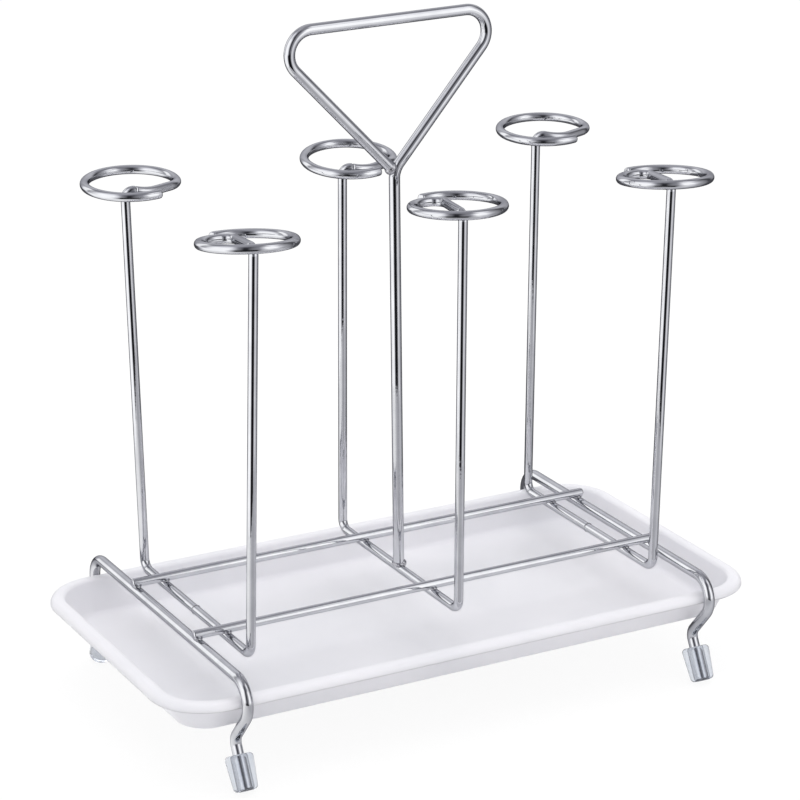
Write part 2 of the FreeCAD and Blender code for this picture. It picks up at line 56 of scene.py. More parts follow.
# Sizes shared with the part
MIDDLE_SHIFT = -3.4
THICK_WIRE = 4.8
THIN_WIRE = 4.0
WELD_SINK = 0.3
RAIL_HEIGHT = 54.0
RAIL_SPACING = 63.0
RAIL_OVERHANG = 2.3
CORNER_CLEAR = 3.7
LEG_SLANT = math.radians(50.04)
SHOULDER_BEND = 9.8
TRAY_PLAY = 0.5
NECK_HEIGHT = 20.9
NECK_BEND = 5.0
FOOT_SPLAY = math.radians(28.0)
END_GAP = 13.7
POST_REACH = 53.7
POST_BEND = 4.6
RING_RADIUS = 19.75
TOP_BEND = 3.3
SPOKE_REACH = 0.9
SPOKE_BEND = 5.0
SPOKE_RETURN = 11.5
FRONT_RING_END = 110.0
BACK_RING_END = 286.0
STRAND_CLEAR = 3.0
MERGE_LEAD = 63.0
BACK_RING_BUMP = 2.4
BUMP_LEFT = 0.12
STRAND_GAP = 0.08
HANDLE_APEX = 180.3
ARM_END_RISE = 1.8
ARM_END_REACH = 2.3
HANDLE_TOP = 245.1
HANDLE_RIGHT = 56.9
HANDLE_LEFT = 61.2
HANDLE_CORNER = 10.0
FORK_BEND = 10.0
HANDLE_LEAN = math.radians(0.65)
CAP_TOP = 12.4
CAP_BOTTOM = 10.2
CAP_LENGTH = 15.4
CAP_TOP_ROUND = 1.8
CAP_BOTTOM_ROUND = 2.0
CAP_FLOOR = 1.6
CAP_CLING = 0.12
CAP_SQUASH = 0.35
TRAY_LENGTH = 286.6
TRAY_WIDTH = 152.0
TRAY_CORNER = 24.8
TRAY_HEIGHT = 16.0
LIP_BELOW = 1.6
TRAY_WALL = 1.8
LIP_DROP = 3.7
LIP_WIDTH = 6.2
LIP_ROUND = 3.2
CREST_ROUND = 2.2
FLOOR_ROUND = 3.0
BASE_ROUND = 2.8
FLOOR_LAP = 8.0
WALL_RUN = 6.6

# What follows from those sizes
FRAME_SPACING = TRAY_LENGTH - 2 * (TRAY_CORNER + CORNER_CLEAR) - THICK_WIRE
RAIL_LENGTH = FRAME_SPACING + 2 * RAIL_OVERHANG
POST_SPACING = FRAME_SPACING / 2 - END_GAP
BACK_RING_MERGE = BACK_RING_END + MERGE_LEAD
BAR_HEIGHT = RAIL_HEIGHT - (THIN_WIRE + THICK_WIRE) / 2 + WELD_SINK
CROSSBAR_HEIGHT = RAIL_HEIGHT - THIN_WIRE + WELD_SINK
SHOULDER_REACH = (TRAY_WIDTH / 2 + TRAY_PLAY + THICK_WIRE / 2 - SHOULDER_BEND
                  + SHOULDER_BEND / math.tan(LEG_SLANT / 2))
NECK_REACH = SHOULDER_REACH - (BAR_HEIGHT - NECK_HEIGHT) / math.tan(LEG_SLANT)
TRAY_LIFT = BAR_HEIGHT - SHOULDER_BEND - LIP_BELOW - TRAY_HEIGHT + LIP_DROP
CAP_RISE = ((CAP_BOTTOM / 2 - CAP_BOTTOM_ROUND) * math.sin(FOOT_SPLAY)
            + (CAP_LENGTH - CAP_BOTTOM_ROUND) * math.cos(FOOT_SPLAY) + CAP_BOTTOM_ROUND - CAP_SQUASH)
CAP_REACH = NECK_REACH + (NECK_HEIGHT - CAP_RISE) * math.tan(FOOT_SPLAY)
FOOT_LENGTH = (NECK_HEIGHT - CAP_RISE) / math.cos(FOOT_SPLAY) + CAP_LENGTH - CAP_FLOOR

# Each post is bent by hand. Its values are: back (1) or front (-1), place along the rack, lean, reach,
# height and bearing, and the slopes of its ring along and across the rack in degrees.
POSTS = {
    "post_back_left": (1, -POST_SPACING, -4.1, 53.3, 172.3, 237.5, 0.6, 2.2),
    "post_back_middle": (1, 0.0, -0.4, 50.9, 170.7, 232.3, 1.4, 5.9),
    "post_back_right": (1, POST_SPACING, 0.1, 51.6, 172.1, 226.7, 1.2, 2.4),
    "post_front_left": (-1, -POST_SPACING, 4.4, 53.9, 173.1, 254.8, -2.4, -6.7),
    "post_front_middle": (-1, 0.0, 2.2, 51.4, 174.3, 250.5, -1.4, -3.0),
    "post_front_right": (-1, POST_SPACING, 4.2, 53.2, 173.8, 249.1, -1.9, -5.0),
}


def srgb(code):
    """An sRGB hex colour as linear red, green, blue and alpha."""
    linear = []
    for i in (0, 2, 4):
        share = int(code[i:i + 2], 16) / 255
        linear.append(share / 12.92 if share <= 0.04045 else ((share + 0.055) / 1.055) ** 2.4)
    return (*linear, 1.0)


def add_node(tree, kind, links=None, values=None, stops=(), **settings):
    """Adds a node with its settings, its inputs' values, the links that feed it and a ramp's stops."""
    node = tree.nodes.new(kind)
    for key, value in settings.items():
        setattr(node, key, value)
    for i, (position, code) in enumerate(stops):
        ramp = node.color_ramp.elements
        element = ramp[i] if i < len(ramp) else ramp.new(1.0)
        element.position = position
        element.color = srgb(code)
    for key, value in (values or {}).items():
        node.inputs[key].default_value = value
    for key, source in (links or {}).items():
        tree.links.new(source, node.inputs[key])
    return node


# Materials

def new_material(name):
    """An empty material and its node tree."""
    material = bpy.data.materials.new(name)
    material.use_nodes = True
    tree = material.node_tree
    tree.nodes.clear()
    return material, tree


# Polished chrome plate on drawn steel wire: a mirror that is a little duller in clouds about 11 mm
# across, and faintly wavy every 4 mm or so
DULL_CLOUD = 11.1
DRAW_WAVE = 3.85
chrome, tree = new_material("polished_chrome_wire")
where = add_node(tree, "ShaderNodeTexCoord")
cloud = add_node(tree, "ShaderNodeTexNoise", {"Vector": where.outputs["Object"]},
                 {"Scale": 1 / (DULL_CLOUD * MM), "Detail": 3.0, "Roughness": 0.55})
dull = add_node(tree, "ShaderNodeMapRange", {"Value": cloud.outputs["Fac"]},
                {"From Min": 0.35, "From Max": 0.75, "To Min": 0.04, "To Max": 0.09})
ripple = add_node(tree, "ShaderNodeTexNoise", {"Vector": where.outputs["Object"]},
                  {"Scale": 1 / (DRAW_WAVE * MM), "Detail": 2.0, "Roughness": 0.5})
wave = add_node(tree, "ShaderNodeBump", {"Height": ripple.outputs["Fac"]},
                {"Strength": 0.06, "Distance": 0.0004})
tone = add_node(tree, "ShaderNodeValToRGB", {"Fac": cloud.outputs["Fac"]},
                stops=[(0.3, "c9cace"), (0.7, "d6d7da")])
plate = add_node(tree, "ShaderNodeBsdfPrincipled",
                 {"Base Color": tone.outputs["Color"], "Roughness": dull.outputs["Result"],
                  "Normal": wave.outputs["Normal"]},
                 {"Metallic": 1.0, "Specular Tint": srgb("a8a8ac")})
add_node(tree, "ShaderNodeOutputMaterial", {"Surface": plate.outputs["BSDF"]})

# Chromed weld metal: the same plate over lumps about 1 mm across, so it is duller and breaks the
# reflections up
WELD_LUMP = 1.11
weld_chrome, tree = new_material("chromed_weld_bead")
where = add_node(tree, "ShaderNodeTexCoord")
lumps = add_node(tree, "ShaderNodeTexNoise", {"Vector": where.outputs["Object"]},
                 {"Scale": 1 / (WELD_LUMP * MM), "Detail": 3.0, "Roughness": 0.6})
wave = add_node(tree, "ShaderNodeBump", {"Height": lumps.outputs["Fac"]},
                {"Strength": 0.55, "Distance": 0.0006})
plate = add_node(tree, "ShaderNodeBsdfPrincipled", {"Normal": wave.outputs["Normal"]},
                 {"Base Color": srgb("bcbcc0"), "Metallic": 1.0, "Roughness": 0.14,
                  "Specular Tint": srgb("a8a8ac")})
add_node(tree, "ShaderNodeOutputMaterial", {"Surface": plate.outputs["BSDF"]})

# Natural polypropylene, injection moulded: milky, lets light in, with flow clouds about 70 mm long
# and a satin mould grain of 0.7 mm, drawn as coarse as it needs to show
FLOW_CLOUD = 71.4
MOULD_GRAIN = 0.714
milky, tree = new_material("milky_polypropylene")
where = add_node(tree, "ShaderNodeTexCoord")
flow = add_node(tree, "ShaderNodeTexNoise", {"Vector": where.outputs["Object"]},
                {"Scale": 1 / (FLOW_CLOUD * MM), "Detail": 3.0, "Roughness": 0.5,
                 "Distortion": 0.4})
tone = add_node(tree, "ShaderNodeValToRGB", {"Fac": flow.outputs["Fac"]},
                stops=[(0.32, "e2e2e7"), (0.7, "ecebf0")])
satin = add_node(tree, "ShaderNodeMapRange", {"Value": flow.outputs["Fac"]},
                 {"From Min": 0.3, "From Max": 0.7, "To Min": 0.28, "To Max": 0.38})
grain = add_node(tree, "ShaderNodeTexNoise", {"Vector": where.outputs["Object"]},
                 {"Scale": 1 / (MOULD_GRAIN * MM), "Detail": 2.0})
wave = add_node(tree, "ShaderNodeBump", {"Height": grain.outputs["Fac"]},
                {"Strength": 0.05, "Distance": 0.0002})
moulded = add_node(tree, "ShaderNodeBsdfPrincipled",
                   {"Base Color": tone.outputs["Color"], "Roughness": satin.outputs["Result"],
                    "Normal": wave.outputs["Normal"]},
                   {"IOR": 1.49, "Specular IOR Level": 0.3, "Subsurface Weight": 0.5,
                    "Subsurface Radius": (1.0, 1.0, 1.0), "Subsurface Scale": 0.003,
                    "Transmission Weight": 0.15})
add_node(tree, "ShaderNodeOutputMaterial", {"Surface": moulded.outputs["BSDF"]})

# Clear soft PVC, dip moulded: see-through with a cool tint, smooth, and hazy in spots about 4.5 mm across
HAZE_SPOT = 4.55
clear_pvc, tree = new_material("clear_soft_pvc")
where = add_node(tree, "ShaderNodeTexCoord")
haze = add_node(tree, "ShaderNodeTexNoise", {"Vector": where.outputs["Object"]},
                {"Scale": 1 / (HAZE_SPOT * MM), "Detail": 3.0, "Roughness": 0.6})
satin = add_node(tree, "ShaderNodeMapRange", {"Value": haze.outputs["Fac"]},
                 {"From Min": 0.3, "From Max": 0.7, "To Min": 0.05, "To Max": 0.12})
tone = add_node(tree, "ShaderNodeValToRGB", {"Fac": haze.outputs["Fac"]},
                stops=[(0.3, "dbe0e9"), (0.72, "e9edf3")])
soft = add_node(tree, "ShaderNodeBsdfPrincipled",
                {"Base Color": tone.outputs["Color"], "Roughness": satin.outputs["Result"]},
                {"IOR": 1.53, "Transmission Weight": 0.94})
add_node(tree, "ShaderNodeOutputMaterial", {"Surface": soft.outputs["BSDF"]})


# Geometry Nodes: a wire of a named gauge along any centreline, and beads on any set of points
WIRE_SIDES = 36


def new_tree(name, inputs):
    """A modifier tree with a geometry input and output and the named sizes."""
    tree = bpy.data.node_groups.new(name, "GeometryNodeTree")
    tree.interface.new_socket("Geometry", in_out="INPUT", socket_type="NodeSocketGeometry")
    for label, kind, value in inputs:
        socket = tree.interface.new_socket(label, in_out="INPUT", socket_type=kind)
        if value is not None:
            socket.default_value = value
    tree.interface.new_socket("Geometry", in_out="OUTPUT", socket_type="NodeSocketGeometry")
    return tree, add_node(tree, "NodeGroupInput")


def finish_tree(tree, entry, geometry):
    """Ends a tree with realised instances and the finish."""
    real = add_node(tree, "GeometryNodeRealizeInstances", {"Geometry": geometry})
    smooth = add_node(tree, "GeometryNodeSetShadeSmooth", {"Geometry": real.outputs["Geometry"]})
    coat = add_node(tree, "GeometryNodeSetMaterial",
                    {"Geometry": smooth.outputs["Geometry"], "Material": entry.outputs["Finish"]})
    add_node(tree, "NodeGroupOutput", {"Geometry": coat.outputs["Geometry"]})


wire_tree, entry = new_tree("bent_wire", [("Gauge", "NodeSocketFloat", THIN_WIRE * MM),
                                          ("Sides", "NodeSocketInt", WIRE_SIDES),
                                          ("Finish", "NodeSocketMaterial", None)])
half_gauge = add_node(wire_tree, "ShaderNodeMath", {0: entry.outputs["Gauge"]}, {1: 0.5},
                      operation="MULTIPLY")
circle = add_node(wire_tree, "GeometryNodeCurvePrimitiveCircle",
                  {"Resolution": entry.outputs["Sides"], "Radius": half_gauge.outputs[0]})
taper = add_node(wire_tree, "GeometryNodeInputRadius")
tube = add_node(wire_tree, "GeometryNodeCurveToMesh",
                {"Curve": entry.outputs["Geometry"], "Profile Curve": circle.outputs["Curve"],
                 "Scale": taper.outputs["Radius"]},
                {"Fill Caps": True})
finish_tree(wire_tree, entry, tube.outputs["Mesh"])

bead_tree, entry = new_tree("weld_beads", [("Bead Radius", "NodeSocketFloat", MM),
                                           ("Finish", "NodeSocketMaterial", None)])
ball = add_node(bead_tree, "GeometryNodeMeshIcoSphere", {"Radius": entry.outputs["Bead Radius"]},
                {"Subdivisions": 4})
stretch = add_node(bead_tree, "GeometryNodeInputNamedAttribute", None, {"Name": "stretch"},
                   data_type="FLOAT_VECTOR")
turn = add_node(bead_tree, "GeometryNodeInputNamedAttribute", None, {"Name": "turn"},
                data_type="FLOAT_VECTOR")
beads = add_node(bead_tree, "GeometryNodeInstanceOnPoints",
                 {"Points": entry.outputs["Geometry"], "Instance": ball.outputs["Mesh"],
                  "Rotation": turn.outputs["Attribute"], "Scale": stretch.outputs["Attribute"]})
finish_tree(bead_tree, entry, beads.outputs["Instances"])


def grow(source, tree, settings, name):
    """Runs a tree on an object, keeps the result as a plain mesh and drops the source."""
    bpy.context.scene.collection.objects.link(source)
    modifier = source.modifiers.new(tree.name, "NODES")
    modifier.node_group = tree
    inputs = [item for item in tree.interface.items_tree if item.in_out == "INPUT"]
    sockets = {item.name: item.identifier for item in inputs}
    for label, value in settings.items():
        modifier[sockets[label]] = value
    depsgraph = bpy.context.evaluated_depsgraph_get()
    mesh = bpy.data.meshes.new_from_object(source.evaluated_get(depsgraph), depsgraph=depsgraph)
    mesh.name = name
    bpy.data.objects.remove(source)
    grown = bpy.data.objects.new(name, mesh)
    bpy.context.scene.collection.objects.link(grown)
    return grown


# Centrelines

# Bends are cut into steps of about this many degrees, and into at least this many steps
BEND_STEP = 3.0
FEWEST_STEPS = 5
# Points of a centreline nearer than this count as one
POINT_GAP = 0.02
# How far in from a cut end each width of its rounding stands, with that width as a share of the gauge
CUT_END = [(0.0, 0.74), (0.14, 0.88), (0.38, 0.97), (0.7, 1.0)]
# Back rings: the lead before the inner strand, in bends of the post's top, and the ease of the last bend
STRAND_LEAD = 1.2
JOIN_EASE = 0.94


def turn_arc(centre, first, last):
    """Points of an arc about a centre, from one radius vector to another."""
    angle = first.angle(last)
    steps = max(FEWEST_STEPS, round(math.degrees(angle) / BEND_STEP))
    points = []
    for i in range(steps + 1):
        share = i / steps
        swing = first * math.sin((1 - share) * angle) + last * math.sin(share * angle)
        points.append(centre + swing / math.sin(angle))
    return points


def bent(corners, radii):
    """Centreline of straight runs with a bend of the given radius at each inner corner."""
    line = [corners[0]]
    for i, radius in enumerate(radii, start=1):
        before = (corners[i - 1] - corners[i]).normalized()
        after = (corners[i + 1] - corners[i]).normalized()
        half = before.angle(after) / 2
        centre = corners[i] + (before + after).normalized() * radius / math.sin(half)
        cut = radius / math.tan(half)
        line += turn_arc(centre, corners[i] + before * cut - centre, corners[i] + after * cut - centre)
    line.append(corners[-1])
    return line


def tidy_line(line):
    """Drops points that lie on top of each other."""
    kept = [line[0]]
    for point in line[1:]:
        if (point - kept[-1]).length > POINT_GAP:
            kept.append(point)
    return kept


def wire(name, line, gauge, square_ends=(False, False)):
    """A chromed wire along a centreline. Its cut ends are rounded off, except those left square."""
    line = tidy_line(line)
    widths = [1.0] * len(line)
    for square in square_ends:
        if not square:
            inward = (line[1] - line[0]).normalized()
            line[:1] = [line[0] + inward * depth for depth, width in CUT_END]
            widths[:1] = [width for depth, width in CUT_END]
        line.reverse()
        widths.reverse()
    curve = bpy.data.curves.new(name + "_line", "CURVE")
    curve.dimensions = "3D"
    spline = curve.splines.new("POLY")
    spline.points.add(len(line) - 1)
    for point, place, width in zip(spline.points, line, widths):
        point.co = (place.x * MM, place.y * MM, place.z * MM, 1.0)
        point.radius = width
    source = bpy.data.objects.new(name + "_line", curve)
    return grow(source, wire_tree, {"Gauge": gauge * MM, "Sides": WIRE_SIDES, "Finish": chrome}, name)


def dress(piece, node, body):
    """The piece stands for its node and moves with its body."""
    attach(piece, body)
    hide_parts(node)


def tangents_meet(first_size, first_degrees, second_size, second_degrees):
    """Where the tangents of two circles about one middle cross, each taken at its own direction."""
    first = math.radians(first_degrees)
    second = math.radians(second_degrees)
    spread = math.sin(second - first)
    x = (first_size * math.sin(second) - second_size * math.sin(first)) / spread
    y = (second_size * math.cos(first) - first_size * math.cos(second)) / spread
    return x, y


def post_line(side, along, lean, reach, height, bearing, slope_along, slope_across):
    """Half a crossbar, the post and its ring, as one centreline."""
    inner = RING_RADIUS - THIN_WIRE - STRAND_GAP
    facing = math.radians(bearing)
    top = Vector((inner * math.cos(facing), inner * math.sin(facing), 0))
    centre = Vector((lean, side * reach, height)) - top
    tilt = (Matrix.Rotation(math.radians(slope_across), 3, "X")
            @ Matrix.Rotation(math.radians(-slope_along), 3, "Y"))
    place = Vector((along, MIDDLE_SHIFT, CROSSBAR_HEIGHT))

    def on_ring(x, y, z=0.0):
        """A point in the ring's sloping plane, from the ring's middle."""
        return centre + tilt @ Vector((x, y, z))

    def round_ring(middle, size, first, last):
        """An arc in the ring's plane, from one bearing to another."""
        steps = round((last - first) / BEND_STEP)
        angles = [math.radians(first + (last - first) * i / steps) for i in range(steps + 1)]
        return [on_ring(middle + size * math.cos(angle), size * math.sin(angle)) for angle in angles]

    start = Vector((0, 0, 0))
    foot = Vector((0, side * POST_REACH, 0))
    if side < 0:
        step = RING_RADIUS - SPOKE_RETURN
        line = bent([start, foot, on_ring(top.x, top.y), on_ring(-SPOKE_REACH, SPOKE_RETURN),
                     on_ring(-step, SPOKE_RETURN)], [POST_BEND, TOP_BEND, SPOKE_BEND])
        line += round_ring(-step, SPOKE_RETURN, 90, 180)
        line += round_ring(0.0, RING_RADIUS, 180, 360 + FRONT_RING_END)
    else:
        lead = STRAND_LEAD * TOP_BEND
        strand = math.sqrt(inner ** 2 - lead ** 2)
        begin = bearing + math.degrees(math.atan2(lead, strand))
        release = BACK_RING_END + STRAND_CLEAR
        join = on_ring(RING_RADIUS * math.cos(math.radians(BACK_RING_MERGE)),
                       RING_RADIUS * math.sin(math.radians(BACK_RING_MERGE)))
        first_turn = on_ring(*tangents_meet(strand, begin, strand, release),
                             BACK_RING_BUMP * BUMP_LEFT)
        second_turn = on_ring(*tangents_meet(strand, release, RING_RADIUS, BACK_RING_MERGE))
        half = (first_turn - second_turn).angle(join - second_turn) / 2
        join_bend = JOIN_EASE * (join - second_turn).length * math.tan(half)
        post_top = on_ring(top.x, top.y, BACK_RING_BUMP)
        line = bent([start, foot, post_top, first_turn, second_turn, join],
                    [POST_BEND, TOP_BEND, strand, join_bend])
        line += round_ring(0.0, RING_RADIUS, BACK_RING_MERGE, 360 + BACK_RING_END)
    return [place + point for point in line]


# Wires
for name, values in POSTS.items():
    post = wire(name + "_wire", post_line(*values), THIN_WIRE, (True, False))
    dress(post, name, "rack")

for name, side in (("back_rail", 1), ("front_rail", -1)):
    y = side * RAIL_SPACING / 2 + MIDDLE_SHIFT
    line = [Vector((-RAIL_LENGTH / 2, y, RAIL_HEIGHT)), Vector((RAIL_LENGTH / 2, y, RAIL_HEIGHT))]
    dress(wire(name + "_wire", line, THIN_WIRE), name, "rack")

for name, x in (("left_leg_frame", -FRAME_SPACING / 2), ("right_leg_frame", FRAME_SPACING / 2)):
    foot_y = NECK_REACH + FOOT_LENGTH * math.sin(FOOT_SPLAY)
    foot_z = NECK_HEIGHT - FOOT_LENGTH * math.cos(FOOT_SPLAY)
    half_frame = [(foot_y, foot_z), (NECK_REACH, NECK_HEIGHT), (SHOULDER_REACH, BAR_HEIGHT)]
    corners = [Vector((x, MIDDLE_SHIFT - y, z)) for y, z in half_frame]
    corners += [Vector((x, MIDDLE_SHIFT + y, z)) for y, z in reversed(half_frame)]
    line = bent(corners, [NECK_BEND, SHOULDER_BEND, SHOULDER_BEND, NECK_BEND])
    dress(wire(name + "_wire", line, THICK_WIRE, (True, True)), name, "rack")

lean = Matrix.Rotation(-HANDLE_LEAN, 3, "Y")
handle_foot = Vector((0, MIDDLE_SHIFT, RAIL_HEIGHT - THIN_WIRE / 2))


def on_handle(across, up):
    """A point in the leaning plane of the handle."""
    return handle_foot + lean @ Vector((across, 0, up))


line = bent([on_handle(0, 0), on_handle(0, HANDLE_APEX), on_handle(HANDLE_RIGHT, HANDLE_TOP),
             on_handle(-HANDLE_LEFT, HANDLE_TOP), on_handle(-ARM_END_REACH, HANDLE_APEX + ARM_END_RISE)],
            [FORK_BEND, HANDLE_CORNER, HANDLE_CORNER])
handle = wire("carry_handle_wire", line, THICK_WIRE, (True, True))
dress(handle, "carry_handle", "rack")

# Weld beads: puddles of metal where the wires cross, a collar where crossbar halves meet, and lumps at
# the handle's foot and where its end closes the triangle, each with its half sizes and its turn
CROSSBAR_PUDDLE = (1.75, 1.75, 0.95)
BAR_PUDDLE = (1.95, 1.95, 1.05)
COLLAR = (2.22, 1.3, 2.22)
FOOT_PUDDLE = (3.1, 3.1, 1.5)
FOOT_PUDDLE_RISE = 0.2
FOOT_LUMP = (2.1, 2.1, 1.9)
FOOT_LUMP_PLACE = (1.3, -0.6, 0.3)
FOOT_LUMP_TURN = 0.3
APEX_LUMP = (2.6, 2.7, 2.9)
APEX_LUMP_PLACE = (-1.7, HANDLE_APEX + 1.0)
APEX_LUMP_TURN = 0.6
welds = []
seat = RAIL_HEIGHT - THIN_WIRE / 2 + WELD_SINK / 2
for y in (-RAIL_SPACING / 2, RAIL_SPACING / 2):
    for x in (-POST_SPACING, 0.0, POST_SPACING):
        welds.append(((x, y, seat), CROSSBAR_PUDDLE, 0.0))
    for x in (-FRAME_SPACING / 2, FRAME_SPACING / 2):
        welds.append(((x, y, seat), BAR_PUDDLE, 0.0))
for x in (-POST_SPACING, POST_SPACING):
    welds.append(((x, 0.0, CROSSBAR_HEIGHT), COLLAR, 0.0))
welds.append(((0.0, 0.0, seat + FOOT_PUDDLE_RISE), FOOT_PUDDLE, 0.0))
lump_x, lump_y, lump_rise = FOOT_LUMP_PLACE
welds.append(((lump_x, lump_y, seat + lump_rise), FOOT_LUMP, FOOT_LUMP_TURN))
apex = on_handle(*APEX_LUMP_PLACE)
welds.append(((apex.x, apex.y - MIDDLE_SHIFT, apex.z), APEX_LUMP, APEX_LUMP_TURN))
points = bpy.data.meshes.new("weld_points")
weld_places = [(x * MM, (y + MIDDLE_SHIFT) * MM, z * MM) for (x, y, z), size, angle in welds]
points.from_pydata(weld_places, [], [])
stretch = points.attributes.new("stretch", "FLOAT_VECTOR", "POINT")
turn = points.attributes.new("turn", "FLOAT_VECTOR", "POINT")
for i, (place, size, angle) in enumerate(welds):
    stretch.data[i].vector = size
    turn.data[i].vector = (0.0, angle, 0.0)
beads = grow(bpy.data.objects.new("weld_points", points), bead_tree,
             {"Bead Radius": MM, "Finish": weld_chrome}, "weld_beads")
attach(beads, "rack")


def mesh_piece(name, vertices, faces, material):
    """A smooth mesh from points in millimetres."""
    mesh = bpy.data.meshes.new(name)
    mesh.from_pydata([tuple(Vector(vertex) * MM) for vertex in vertices], [], faces)
    shell = bmesh.new()
    shell.from_mesh(mesh)
    bmesh.ops.recalc_face_normals(shell, faces=shell.faces)
    shell.to_mesh(mesh)
    shell.free()
    mesh.materials.append(material)
    mesh.shade_smooth()
    piece = bpy.data.objects.new(name, mesh)
    bpy.context.scene.collection.objects.link(piece)
    return piece


def flat_bent(corners):
    """An outline in a plane: each corner is (across, up, radius)."""
    points = [Vector((across, 0, up)) for across, up, radius in corners]
    radii = [radius for across, up, radius in corners]
    line = [points[0]]
    for i in range(1, len(points) - 1):
        if radii[i]:
            line += bent(points[i - 1:i + 2], [radii[i]])[1:-1]
        else:
            line.append(points[i])
    line.append(points[-1])
    return [(point.x, point.z) for point in line]


# Foot caps: the turned outline of each cap, flattened where it meets the floor. The soft plastic clings
# to the wire, so no air shows between them.
BORE = THICK_WIRE / 2 - CAP_CLING
BORE_END = CAP_FLOOR + CAP_CLING - CAP_LENGTH
CAP_TURNS = 72
cap_outline = flat_bent([
    (0.0, BORE_END, 0), (BORE, BORE_END, 0), (BORE, 0.0, 0),
    (CAP_TOP / 2, 0.0, CAP_TOP_ROUND), (CAP_BOTTOM / 2, -CAP_LENGTH, CAP_BOTTOM_ROUND),
    (0.0, -CAP_LENGTH, 0)])
for name, x, side in (("foot_cap_front_left", -1, -1), ("foot_cap_front_right", 1, -1),
                      ("foot_cap_back_left", -1, 1), ("foot_cap_back_right", 1, 1)):
    place = Vector((x * FRAME_SPACING / 2, side * CAP_REACH + MIDDLE_SHIFT, CAP_RISE))
    tip = Matrix.Rotation(side * FOOT_SPLAY, 3, "X")
    vertices = []
    rings = []
    for size, height in cap_outline:
        if size == 0.0:
            rings.append([len(vertices)])
            vertices.append(place + tip @ Vector((0, 0, height)))
            continue
        rings.append(list(range(len(vertices), len(vertices) + CAP_TURNS)))
        for i in range(CAP_TURNS):
            angle = 2 * math.pi * i / CAP_TURNS
            spot = place + tip @ Vector((size * math.cos(angle), size * math.sin(angle), height))
            vertices.append(Vector((spot.x, spot.y, max(spot.z, 0.0))))
    faces = []
    for lower, upper in zip(rings, rings[1:]):
        for i in range(CAP_TURNS):
            j = (i + 1) % CAP_TURNS
            if len(lower) == 1:
                faces.append((lower[0], upper[i], upper[j]))
            elif len(upper) == 1:
                faces.append((lower[i], lower[j], upper[0]))
            else:
                faces.append((lower[i], lower[j], upper[j], upper[i]))
    dress(mesh_piece(name + "_pvc", vertices, faces, clear_pvc), name, "rack")

# Drip tray: one wall section carried round the rounded outline, and a floor
LIP_EDGE_RISE = 0.35
LIP_EDGE_SINK = 0.05
LIP_EDGE_ROUND = 0.5
UNDER_LIP_ROUND = 0.6
slope = WALL_RUN / (TRAY_HEIGHT - TRAY_WALL)
leaning_wall = TRAY_WALL * math.sqrt(1 + slope ** 2)
inner_foot = LIP_WIDTH + WALL_RUN
under = TRAY_HEIGHT - TRAY_WALL
lip_end = TRAY_HEIGHT - LIP_DROP
tray_section = flat_bent([
    (inner_foot + FLOOR_LAP, TRAY_WALL, 0), (inner_foot, TRAY_WALL, FLOOR_ROUND),
    (LIP_WIDTH, TRAY_HEIGHT, CREST_ROUND), (0.0, TRAY_HEIGHT, LIP_ROUND),
    (0.0, lip_end + LIP_EDGE_RISE, LIP_EDGE_ROUND),
    (TRAY_WALL / 2, lip_end - LIP_EDGE_SINK, LIP_EDGE_ROUND),
    (TRAY_WALL, lip_end + LIP_EDGE_RISE, LIP_EDGE_ROUND),
    (TRAY_WALL, under, LIP_ROUND - TRAY_WALL),
    (LIP_WIDTH + TRAY_WALL * slope - leaning_wall, under, UNDER_LIP_ROUND),
    (inner_foot + TRAY_WALL * slope - leaning_wall, 0.0, BASE_ROUND),
    (inner_foot + FLOOR_LAP, 0.0, 0)])
outline = []
half_x = TRAY_LENGTH / 2 - TRAY_CORNER
half_y = TRAY_WIDTH / 2 - TRAY_CORNER
CORNER_STEPS = 28
SIDE_STEPS = 24
for quarter, (sx, sy) in enumerate(((1, 1), (-1, 1), (-1, -1), (1, -1))):
    for i in range(CORNER_STEPS + 1):
        angle = math.pi / 2 * (quarter + i / CORNER_STEPS)
        facing = Vector((math.cos(angle), math.sin(angle), 0))
        outline.append((Vector((sx * half_x, sy * half_y, 0)) + facing * TRAY_CORNER, facing))
    run = 2 * half_x if quarter % 2 == 0 else 2 * half_y
    corner, facing = outline[-1]
    onward = Vector((-facing.y, facing.x, 0))
    for i in range(1, SIDE_STEPS):
        outline.append((corner + onward * run * i / SIDE_STEPS, facing))
vertices = []
for edge, facing in outline:
    for inset, height in tray_section:
        vertices.append((edge - facing * inset) + Vector((0, MIDDLE_SHIFT, TRAY_LIFT + height)))
count = len(tray_section)
around = len(outline)
faces = []
for i in range(around):
    j = (i + 1) % around
    for k in range(count - 1):
        faces.append((i * count + k, j * count + k, j * count + k + 1, i * count + k + 1))
faces.append([i * count for i in range(around)])
faces.append([i * count + count - 1 for i in range(around)])
tray = mesh_piece("drip_tray_shell", vertices, faces, milky)
dress(tray, "drip_tray", "tray")

# Studio: a pale floor under an overhead softbox, with a white surround
FLOOR_RADIUS = 0.62
FLOOR_GLOW_SHARE = 0.9
WHITE_GLOW = 1.02
PLAIN_LIGHT = 0.86
DISC_STEPS = 96


def disc(name, radius, height):
    """A flat round sheet about the origin, in metres."""
    turns = [2 * math.pi * i / DISC_STEPS for i in range(DISC_STEPS)]
    mesh = bpy.data.meshes.new(name)
    mesh.from_pydata([(radius * math.cos(turn), radius * math.sin(turn), height) for turn in turns],
                     [], [list(range(DISC_STEPS))])
    return mesh


def seen_directly(tree, light_path):
    """One for what the camera sees straight or through a clear piece, else nought."""
    seen = add_node(tree, "ShaderNodeMath",
                    {0: light_path.outputs["Is Camera Ray"], 1: light_path.outputs["Is Transmission Ray"]},
                    operation="MAXIMUM")
    return seen.outputs[0]


